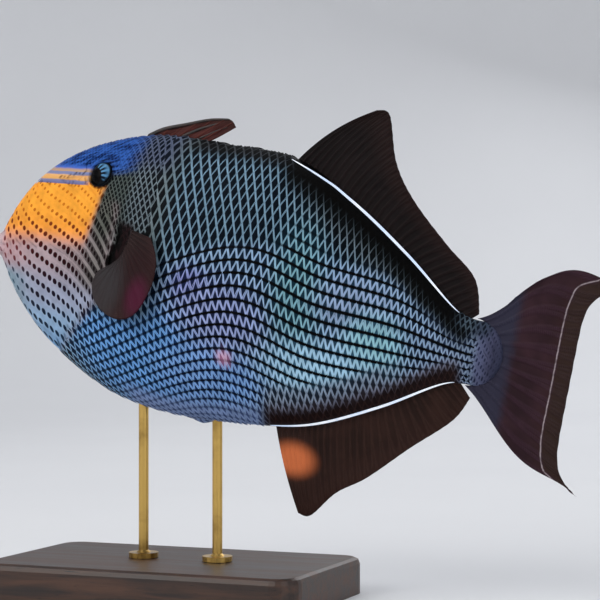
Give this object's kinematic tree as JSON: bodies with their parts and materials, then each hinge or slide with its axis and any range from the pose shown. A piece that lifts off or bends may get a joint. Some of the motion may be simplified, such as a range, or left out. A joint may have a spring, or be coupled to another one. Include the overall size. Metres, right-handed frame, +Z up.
{
  "type": "black triggerfish model",
  "caption": "Still life-size model of a black triggerfish, nose up, with ridged fins, held by two rods over a flat wooden base.",
  "frame": {"origin": "middle of the whole model's box, on the underside of the stand's base", "axes": "+X from the head towards the tail, +Y towards the right flank, +Z up; the fish is pitched nose-up about Y"},
  "size_m": [0.335, 0.1, 0.2386],
  "materials": {
    "scaled_skin": "near-black scales, each outlined in pale blue-grey, under a thin satin varnish",
    "eye": "dark pupil in a deep blue iris under a clear cornea",
    "spined_fin": "reddish-brown web on three dark spines",
    "dark_fin": "black-brown web with a pale blue line along its root",
    "tail_fin": "dark maroon web with a fine whitish line inside its edge",
    "pectoral_fin": "dark maroon web with a paler front",
    "dark_wood": "dark hardwood, oiled, with softened edges",
    "brass": "turned and brushed brass"
  },
  "bodies": {
    "root": {"head": "scaled_skin", "trunk": "scaled_skin", "tail_stem": "scaled_skin", "eye_left": "eye", "eye_right": "eye", "first_dorsal_fin": "spined_fin", "second_dorsal_fin": "dark_fin", "anal_fin": "dark_fin", "caudal_fin": "tail_fin", "pectoral_fin_left": "pectoral_fin", "pectoral_fin_right": "pectoral_fin", "stand_base": "dark_wood", "stand_rod_front": "brass", "stand_rod_rear": "brass"}
  },
  "joints": []
}
